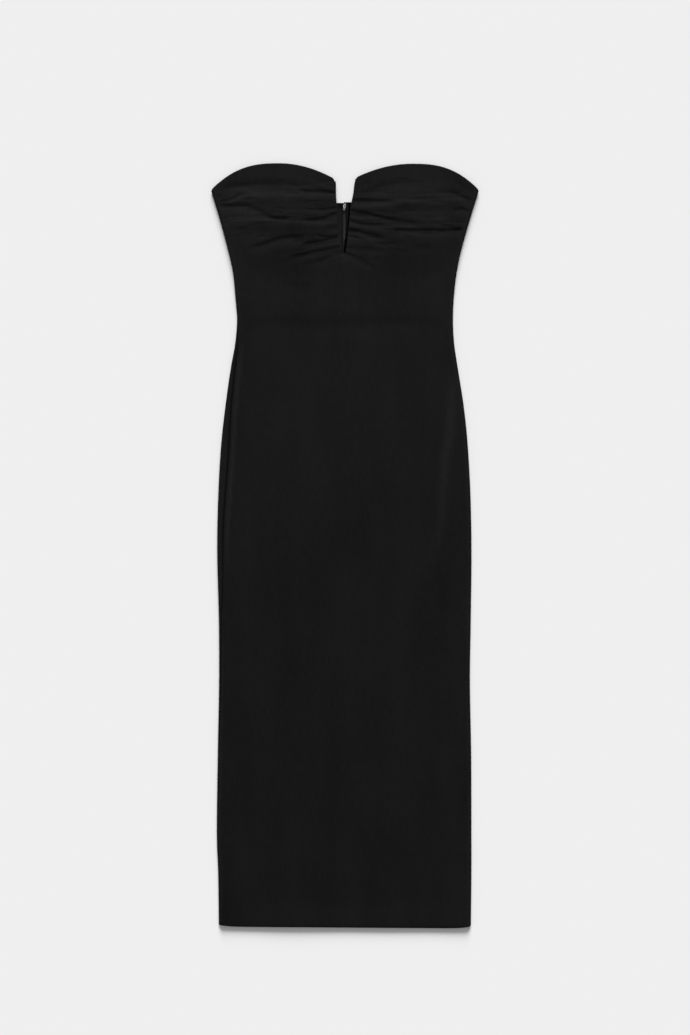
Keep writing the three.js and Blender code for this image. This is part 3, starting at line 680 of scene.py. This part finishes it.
def metalMaterial(name, values):  # painted below a height, and bright plating above it
    material = bpy.data.materials.new(name)
    material.use_nodes = True
    tree = material.node_tree
    shader = tree.nodes["Principled BSDF"]
    worn = groupIn(tree, wornGroup, {"Scratch Scale": values["scratches"]})
    wear = spread(tree, worn.outputs["Wear"], 0.0, 1.0)
    place = tree.nodes.new("ShaderNodeSeparateXYZ")
    coordinates = tree.nodes.new("ShaderNodeTexCoord")
    tree.links.new(coordinates.outputs["Object"], place.inputs[0])
    bare = tree.nodes.new("ShaderNodeMapRange")
    tree.links.new(place.outputs["Z"], bare.inputs["Value"])
    setInputs(bare, {"From Min": values["bareFrom"], "From Max": values["bareFrom"] + values["bareSoft"]})
    colour = tree.nodes.new("ShaderNodeMix")
    colour.data_type = "RGBA"
    tree.links.new(bare.outputs["Result"], colour.inputs["Factor"])
    for k, looks in zip(mixColours, (("paintDark", "paintLight"), ("dark", "light"))):
        tree.links.new(colourBetween(tree, wear, values[looks[0]], values[looks[1]]), colour.inputs[k])
    tree.links.new(colour.outputs[2], shader.inputs["Base Color"])
    tree.links.new(bare.outputs["Result"], shader.inputs["Metallic"])
    tree.links.new(spread(tree, worn.outputs["Height"], *values["roughness"]), shader.inputs["Roughness"])
    normal = bumpFrom(tree, worn.outputs["Height"], values["bump"], values["bumpDistance"])
    tree.links.new(normal, shader.inputs["Normal"])
    setInputs(shader, {"Specular IOR Level": values["specular"]})
    return material


# Looks: bump distances and the plating's heights are in metres
crepeBlack = clothMaterial("crepeBlack", {
    "dark": (0.0023, 0.0023, 0.0023), "light": (0.0052, 0.0052, 0.0052), "roughness": (0.82, 0.95),
    "bump": 0.5, "bumpDistance": 0.0002, "specular": 0.11, "sheen": 0.02,
    "grain": {"Grain Scale": 1700.0, "Yarn Scale": 2300.0, "Shade Scale": 16.0}})
tapeBlack = clothMaterial("tapeBlack", {
    "dark": (0.0035, 0.0035, 0.0037), "light": (0.006, 0.006, 0.0062), "roughness": (0.75, 0.9),
    "bump": 0.5, "bumpDistance": 0.0002, "specular": 0.15, "sheen": 0.02,
    "grain": {"Grain Scale": 2600.0, "Yarn Scale": 3200.0, "Shade Scale": 60.0}})
coilBlack = clothMaterial("coilBlack", {
    "dark": (0.0075, 0.0075, 0.0076), "light": (0.0105, 0.0105, 0.0106), "roughness": (0.55, 0.65),
    "bump": 0.1, "bumpDistance": 0.00005, "specular": 0.22, "sheen": 0.0,
    "grain": {"Grain Scale": 3000.0, "Yarn Scale": 900.0, "Shade Scale": 120.0}})
metalLook = {
    "dark": (0.42, 0.43, 0.44), "light": (0.66, 0.67, 0.68), "paintDark": (0.004, 0.004, 0.004),
    "paintLight": (0.014, 0.014, 0.014), "roughness": (0.26, 0.42), "scratches": 900.0, "bareSoft": 0.0002,
    "bump": 0.15, "bumpDistance": 0.00003, "specular": 0.3}
zipSilver = metalMaterial("zipSilver", {**metalLook, "bareFrom": -1.0})
zipPaint = metalMaterial("zipPaint", {**metalLook, "bareFrom": 0.0041})
print("materials ready")

dressFront = makeFront(frontValues, crepeBlack)
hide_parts("front_panel")
print("front shell:", len(dressFront.data.polygons), "faces")

# Painted light and shade, and a darker corner of the hem, as shares lighter or darker, and where they lie
tones = {
    "ridge": 0.55, "ridgeIn": 7, "ridgeSpread": 3.2, "ridgeTop": 330, "ridgeTopRun": 60, "ridgeFoot": -60,
    "ridgeFootRun": 120, "groove": 0.55, "grooveSpread": 1.3, "strip": 0.15, "stripFoot": -400,
    "stripFootRun": 300, "neckDeep": 0.85, "neckBand": 3.5, "neckSoft": 2, "upper": 0.15, "upperFrom": -100,
    "upperRun": 450, "rim": 0.22, "rimIn": 4.5, "rimSpread": 1.8, "corner": 0.2, "cornerX": -178,
    "cornerY": -562, "cornerSpread": 30, "gapSoft": 0.9, "gapDeep": 0.93, "gapFoot": 441, "gapFootRun": 5,
    "gapOnCoil": 3, "tape": 0.22, "tapeFrom": 455, "tapeRun": 55, "tapeUnderEdge": 0.42, "hollow": 0.75,
    "hollowX": -7, "hollowY": 520, "hollowSpread": 4, "hipRight": 7, "hipLeft": 8,
}
# painted highlight down the hip ridge, by how far down it lies
hipTones = {"fall": [0, 0.15, 0.3, 0.45, 0.65, 0.9, 1], "lighter": [0, 0.3, 0.57, 0.4, 0.3, 0, 0]}
# painted light and shade across the coil's loops
coilTones = {"across": [-3, -1.4, 0.1, 1.7, 3], "lighter": [0.3, -0.35, 0.03, 0.45, 0.5]}


def seamOffset(x, y):  # distance in from the seam that shows at the wearer's right
    halfWidth = curveThrough(outline["y"], outline["right"], y)
    return halfWidth + x - insetAt(y, seamArc("right", y))


def bell(off, spread):
    return np.exp(-((off / spread) ** 2))


def besideSeam(y, foot, run):  # 1 along the side seam that shows, fading out at the waist and at a foot
    top = smooth((tones["ridgeTop"] - y) / tones["ridgeTopRun"])
    return top * smooth((y - foot) / run)


# Painted light and shade on the front: a painted highlight on the ridge beside the seam and painted shade in
# its groove, painted light towards the top, painted highlights along the rolled sides and down the hip ridge;
# and darker at one corner of the hem
def frontShade(x, y, z):
    away = seamOffset(x, y)
    beside = besideSeam(y, tones["ridgeFoot"], tones["ridgeFootRun"])
    ridge = tones["ridge"] * bell(away - tones["ridgeIn"], tones["ridgeSpread"])
    groove = tones["groove"] * bell(away, tones["grooveSpread"])
    upper = tones["upper"] * smooth((y - tones["upperFrom"]) / tones["upperRun"])
    width = np.where(x < 0, *[curveThrough(outline["y"], outline[name], y) for name in ("right", "left")])
    rim = tones["rim"] * bell(width - np.abs(x) - tones["rimIn"], tones["rimSpread"])
    away = np.hypot(x - tones["cornerX"], y - tones["cornerY"])
    corner = tones["corner"] * bell(away, tones["cornerSpread"])
    hipX, hipY = np.array(hipRidge["points"]).T
    off = x - curveThrough(hipY, hipX, y)
    fall = (hipY[0] - y) / (hipY[0] - hipY[-1])
    lighter = curveThrough(hipTones["fall"], hipTones["lighter"], fall)
    hip = lighter * bell(off, np.where(off > 0, tones["hipRight"], tones["hipLeft"]))
    return upper + rim + hip - corner + beside * (ridge - groove)


# Painted light and shade on the backs: lighter on the strip that rolls onto the top, painted shade in the
# seam's groove and along the neck edge
def backShade(x, y, z):
    beside = besideSeam(y, tones["stripFoot"], tones["stripFootRun"]) * (z > cut["backWall"]) * (x < 0)
    groove = tones["groove"] * bell(seamOffset(x, y), tones["grooveSpread"])
    neckY = np.where(x < 0, neckEdge("right", x), neckEdge("left", x))
    neck = smooth((y - neckY + tones["neckBand"]) / tones["neckSoft"])
    return beside * (tones["strip"] - groove) - tones["neckDeep"] * neck


def slotShade(x, y):  # the front's edge keeps the light from the slot beside the coil
    across = (x - curveThrough(slotEdge["y"], slotEdge["x"], y)) / tones["gapSoft"] + 0.5
    return tones["gapDeep"] * smooth(across) * smooth((y - tones["gapFoot"]) / tones["gapFootRun"])


def tapeShade(x, y, z):  # painted shade and shadow: darker beside the coil, under the front's edge, at its top edge, in the slot and by the slider
    neck = tones["neckDeep"] * smooth((y - cut["tapeTop"] + tones["neckBand"]) / tones["neckSoft"])
    away = np.hypot(x - tones["hollowX"], y - tones["hollowY"])
    hollow = tones["hollow"] * bell(away, tones["hollowSpread"])
    plain = tones["tape"] * smooth((y - tones["tapeFrom"]) / tones["tapeRun"])
    plain = np.where(x > cut["zipX"], tones["tapeUnderEdge"], plain)
    return -np.maximum(np.maximum(slotShade(x, y), plain), np.maximum(neck, hollow))


# painted light and shade across the coil's loops, and the slot's painted shadow on them
def coilShade(x, y, z):
    lit = curveThrough(coilTones["across"], coilTones["lighter"], x - cut["zipX"])
    return np.maximum(lit - tones["gapOnCoil"] * slotShade(x, y), -tones["gapDeep"])


paintShade(dressFront, frontShade)

dressBacks = {side: makeBack(side, frontValues, crepeBlack) for side in signOf}
for side, piece in dressBacks.items():
    paintShade(piece, backShade)
    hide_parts("back_" + side)
print("back shells:", sum(len(piece.data.polygons) for piece in dressBacks.values()), "faces")

tapeValues = {"inner": 3.3, "outer": 14.3, "floor": 1.5, "thick": 0.5, "ribs": 7, "ribRise": 0.05,
              "rowStep": 2}


def makeTape(side, values, material):
    columns = values["ribs"] * 4 + 1
    across = np.linspace(0, 1, columns)
    length = cut["tapeTop"] - cut["zipEnd"]
    down = np.linspace(0, 1, int(length / values["rowStep"]) + 1)
    x = cut["zipX"] + signOf[side] * (values["inner"] + (values["outer"] - values["inner"]) * across)
    y = cut["tapeTop"] - length * down
    xs, ys = np.meshgrid(x, y)
    ribs = values["ribRise"] * np.cos(across * values["ribs"] * 2 * math.pi)
    top = values["floor"] + values["thick"] - values["ribRise"] + ribs[None, :] + 0 * ys
    outer = np.stack([xs, ys, top], -1).reshape(-1, 3)
    inner = np.stack([xs, ys, np.full_like(xs, values["floor"])], -1).reshape(-1, 3)
    numbers = np.arange(xs.size).reshape(xs.shape)
    quads = gridQuads(numbers, signOf[side] < 0)[:, ::-1]
    points, faces = closedWall(outer, inner, np.zeros_like(outer), quads, 1)
    return meshObject("zipTape" + side.capitalize(), points, faces, material)


zipTapes = {side: makeTape(side, tapeValues, tapeBlack) for side in signOf}
for side, piece in zipTapes.items():
    paintShade(piece, tapeShade)
    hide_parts("zip_tape_" + side)
print("zip tapes ready")


mostWobble = 0.06  # radians that a form in a row turns to either side


# Geometry Nodes: copies of one small form along a line of points, in metres
def rowTree(name, buildForm):
    tree = bpy.data.node_groups.new(name, "GeometryNodeTree")
    new, link = tree.nodes.new, tree.links.new
    face = tree.interface
    face.new_socket("Geometry", in_out="INPUT", socket_type="NodeSocketGeometry")
    usual = {"Spacing": 0.0011, "Width": 0.005, "Length": 0.001, "Height": 0.0013, "Turn": 0.0}
    for label, value in usual.items():
        face.new_socket(label, in_out="INPUT", socket_type="NodeSocketFloat").default_value = value
    face.new_socket("Seed", in_out="INPUT", socket_type="NodeSocketInt").default_value = 3
    face.new_socket("Finish", in_out="INPUT", socket_type="NodeSocketMaterial")
    face.new_socket("Geometry", in_out="OUTPUT", socket_type="NodeSocketGeometry")
    given, made = new("NodeGroupInput"), new("NodeGroupOutput")
    toCurve = new("GeometryNodeMeshToCurve")
    link(given.outputs["Geometry"], toCurve.inputs["Mesh"])
    resample = new("GeometryNodeResampleCurve")
    resample.mode = "LENGTH"
    link(toCurve.outputs["Curve"], resample.inputs["Curve"])
    link(given.outputs["Spacing"], resample.inputs["Length"])
    form = buildForm(tree)
    size = new("ShaderNodeCombineXYZ")
    link(given.outputs["Width"], size.inputs["X"])
    link(given.outputs["Length"], size.inputs["Y"])
    link(given.outputs["Height"], size.inputs["Z"])
    wobble = new("FunctionNodeRandomValue")
    wobble.data_type = "FLOAT"
    wobble.inputs[2].default_value = -mostWobble
    wobble.inputs[3].default_value = mostWobble
    link(given.outputs["Seed"], wobble.inputs["Seed"])
    turned = new("ShaderNodeMath")
    link(wobble.outputs[1], turned.inputs[0])
    link(given.outputs["Turn"], turned.inputs[1])
    turn = new("ShaderNodeCombineXYZ")
    link(turned.outputs[0], turn.inputs["Z"])
    place = new("GeometryNodeInstanceOnPoints")
    link(resample.outputs["Curve"], place.inputs["Points"])
    link(form, place.inputs["Instance"])
    link(size.outputs[0], place.inputs["Scale"])
    link(turn.outputs[0], place.inputs["Rotation"])
    realize = new("GeometryNodeRealizeInstances")
    link(place.outputs["Instances"], realize.inputs["Geometry"])
    finish = new("GeometryNodeSetMaterial")
    link(realize.outputs["Geometry"], finish.inputs["Geometry"])
    link(given.outputs["Finish"], finish.inputs["Material"])
    smoothed = new("GeometryNodeSetShadeSmooth")
    link(finish.outputs["Geometry"], smoothed.inputs["Geometry"])
    link(smoothed.outputs["Geometry"], made.inputs["Geometry"])
    return tree


def roundForm(tree):  # a unit ball with few faces
    ball = tree.nodes.new("GeometryNodeMeshUVSphere")
    setInputs(ball, {"Segments": 8, "Rings": 6, "Radius": 0.5})
    return ball.outputs["Mesh"]


def rowAlong(name, tree, lines, settings, material):
    carrier = bpy.data.meshes.new(name + "Line")
    points, edges = [], []
    for line in lines:
        edges.extend((len(points) + k, len(points) + k + 1) for k in range(len(line) - 1))
        points.extend(line)
    carrier.from_pydata((np.asarray(points, float) * mm).tolist(), edges, [])
    piece = addObject(name, carrier)
    modifier = piece.modifiers.new("row", "NODES")
    modifier.node_group = tree
    sockets = {item.name: item.identifier for item in tree.interface.items_tree if item.in_out == "INPUT"}
    for label, value in settings.items():
        modifier[sockets[label]] = value
    modifier[sockets["Finish"]] = material
    view = bpy.context.evaluated_depsgraph_get()
    made = bpy.data.meshes.new_from_object(piece.evaluated_get(view))
    piece.modifiers.clear()
    piece.data = made
    made.name = name
    return piece


rowNodes = rowTree("formsInRow", roundForm)
coilValues = {"pitch": 1.05, "width": 6, "loopLength": 0.95, "height": 1.2, "middleZ": 2.15,
              "sliderLength": 6.4, "sliderGap": 0.8, "footGap": 1}


def makeCoil(values):
    x, z = cut["zipX"], values["middleZ"]
    top = cut["zipTop"] - values["sliderLength"] - values["sliderGap"]
    line = [(x, top, z), (x, cut["zipEnd"] + values["footGap"], z)]
    settings = {"Spacing": values["pitch"] * mm, "Width": values["width"] * mm,
                "Length": values["loopLength"] * mm, "Height": values["height"] * mm, "Turn": 0.0, "Seed": 3}
    return rowAlong("zipCoilLoops", rowNodes, [line], settings, coilBlack)


zipCoilLoops = makeCoil(coilValues)
paintShade(zipCoilLoops, coilShade)
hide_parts("zip_coil")
print("zip coil:", len(zipCoilLoops.data.polygons), "faces")

metalValues = {  # the bevel and the joining distance are in metres
    "bevel": 0.00014, "joinWithin": 1e-6, "segments": 2, "flatAngle": math.radians(4),
    "sharpAngle": math.radians(35), "hinge": (0.1, 522.8), "hingeTurn": math.radians(-12), "pullShare": 0.8,
    "sliderFrom": (-1.6, 520.5), "sliderShare": 0.55,
}


def softened(name, node, values, material):  # a copy of a metal node with its edges rounded
    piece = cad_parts[node].copy()
    piece.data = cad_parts[node].data.copy()
    piece.name = piece.data.name = name
    piece.parent = None
    for key in list(piece.keys()):
        del piece[key]
    bpy.context.scene.collection.objects.link(piece)
    form = bmesh.new()
    form.from_mesh(piece.data)
    bmesh.ops.remove_doubles(form, verts=form.verts, dist=values["joinWithin"])
    bmesh.ops.dissolve_limit(form, angle_limit=values["flatAngle"], verts=form.verts, edges=form.edges)
    folded = [edge for edge in form.edges if edge.is_manifold]
    sharp = [edge for edge in folded if edge.calc_face_angle() > values["sharpAngle"]]
    bmesh.ops.bevel(form, geom=sharp, offset=values["bevel"], segments=values["segments"], affect="EDGES",
                    clamp_overlap=True)
    bmesh.ops.triangulate(form, faces=form.faces)
    bmesh.ops.recalc_face_normals(form, faces=form.faces)
    for face in form.faces:
        face.smooth = True
    form.to_mesh(piece.data)
    form.free()
    piece.data.materials.clear()
    piece.data.materials.append(material)
    return piece


def squeezed(piece, pivot, turn, share, oneWay=False):  # narrower along a direction from a point
    along = np.array([math.cos(turn), math.sin(turn), 0.0])
    places = pointsOf(piece)
    off = (places - np.array([*pivot, 0.0])) @ along
    if oneWay:
        off = np.maximum(off, 0.0)
    places += ((share - 1) * off)[:, None] * along
    piece.data.vertices.foreach_set("co", (places * mm).ravel())
    piece.data.update()


zipSliderBody = softened("zipSliderBody", "zip_slider", metalValues, zipPaint)
zipPull = softened("zipPull", "zip_pull_tab", metalValues, zipSilver)
squeezed(zipSliderBody, metalValues["sliderFrom"], -math.pi / 2, metalValues["sliderShare"], True)
squeezed(zipPull, metalValues["hinge"], metalValues["hingeTurn"], metalValues["pullShare"])
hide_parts("zip_slider")
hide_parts("zip_pull_tab")
print("slider and pull ready")

# Bodies: the dress's pieces, and the pull tab on its own
onDress = [(dressFront, "crepe"), (dressBacks["right"], "crepe"), (dressBacks["left"], "crepe"),
           (zipTapes["right"], "zip_tape"), (zipTapes["left"], "zip_tape"), (zipCoilLoops, "zip_coil"),
           (zipSliderBody, "zip_paint")]
for piece, slotName in onDress:
    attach(piece, "dress")
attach(zipPull, "pull_tab")

# Floor, light and camera: the floor is in metres
stageValues = {
    "floorHalf": 60.0, "floorColour": 0.82, "floorZ": -0.0004, "sunHigh": 23.0, "sunTowardsLeft": 1.0,
    "sunSoft": 30.0, "sunStrength": 5.5, "skyStrength": 0.37,
}
cameraValues = {"lens": 100.0, "sensor": 36.0, "frameWidth": 690, "frameHeight": 1035, "mmPerPixel": 1.53,
                "middlePixelX": 344.95, "middlePixelY": 546.75}


def makeFloor(values):
    half, z = values["floorHalf"], values["floorZ"]
    mesh = bpy.data.meshes.new("floor")
    corners = [(-half, -half, z), (half, -half, z), (half, half, z), (-half, half, z)]
    mesh.from_pydata(corners, [], [(0, 1, 2, 3)])
    material = bpy.data.materials.new("floorPale")
    material.use_nodes = True
    colour = (*[values["floorColour"]] * 3, 1.0)
    shader = material.node_tree.nodes["Principled BSDF"]
    setInputs(shader, {"Base Color": colour, "Roughness": 1.0, "Specular IOR Level": 0.0})
    mesh.materials.append(material)
    floor = addObject("floor", mesh)


def makeLight(values):
    sun = bpy.data.lights.new("windowSun", "SUN")
    sun.energy = values["sunStrength"]
    sun.angle = math.radians(values["sunSoft"])
    lamp = addObject("windowSun", sun)
    tilt, turn = math.radians(90 - values["sunHigh"]), math.radians(values["sunTowardsLeft"])
    lamp.rotation_euler = (-tilt, 0.0, -turn)
    world = bpy.data.worlds.new("paleRoom")
    world.use_nodes = True
    sky = world.node_tree.nodes["Background"]
    setInputs(sky, {"Color": (1.0, 1.0, 1.0, 1.0), "Strength": values["skyStrength"]})
    bpy.context.scene.world = world


def makeCamera(values):
    camera = bpy.data.cameras.new("overheadCamera")
    camera.lens = values["lens"]
    camera.sensor_width = values["sensor"]
    camera.clip_end = 100.0
    tall = values["frameHeight"] * values["mmPerPixel"] * mm
    height = tall * values["lens"] / values["sensor"]
    x = (values["frameWidth"] / 2 - values["middlePixelX"]) * values["mmPerPixel"] * mm
    y = (values["middlePixelY"] - values["frameHeight"] / 2) * values["mmPerPixel"] * mm
    holder = addObject("overheadCamera", camera)
    holder.location = (x, y, height)
    bpy.context.scene.camera = holder


makeFloor(stageValues)
makeLight(stageValues)
makeCamera(cameraValues)
bpy.context.scene.view_settings.view_transform = "Standard"
print("stage ready")
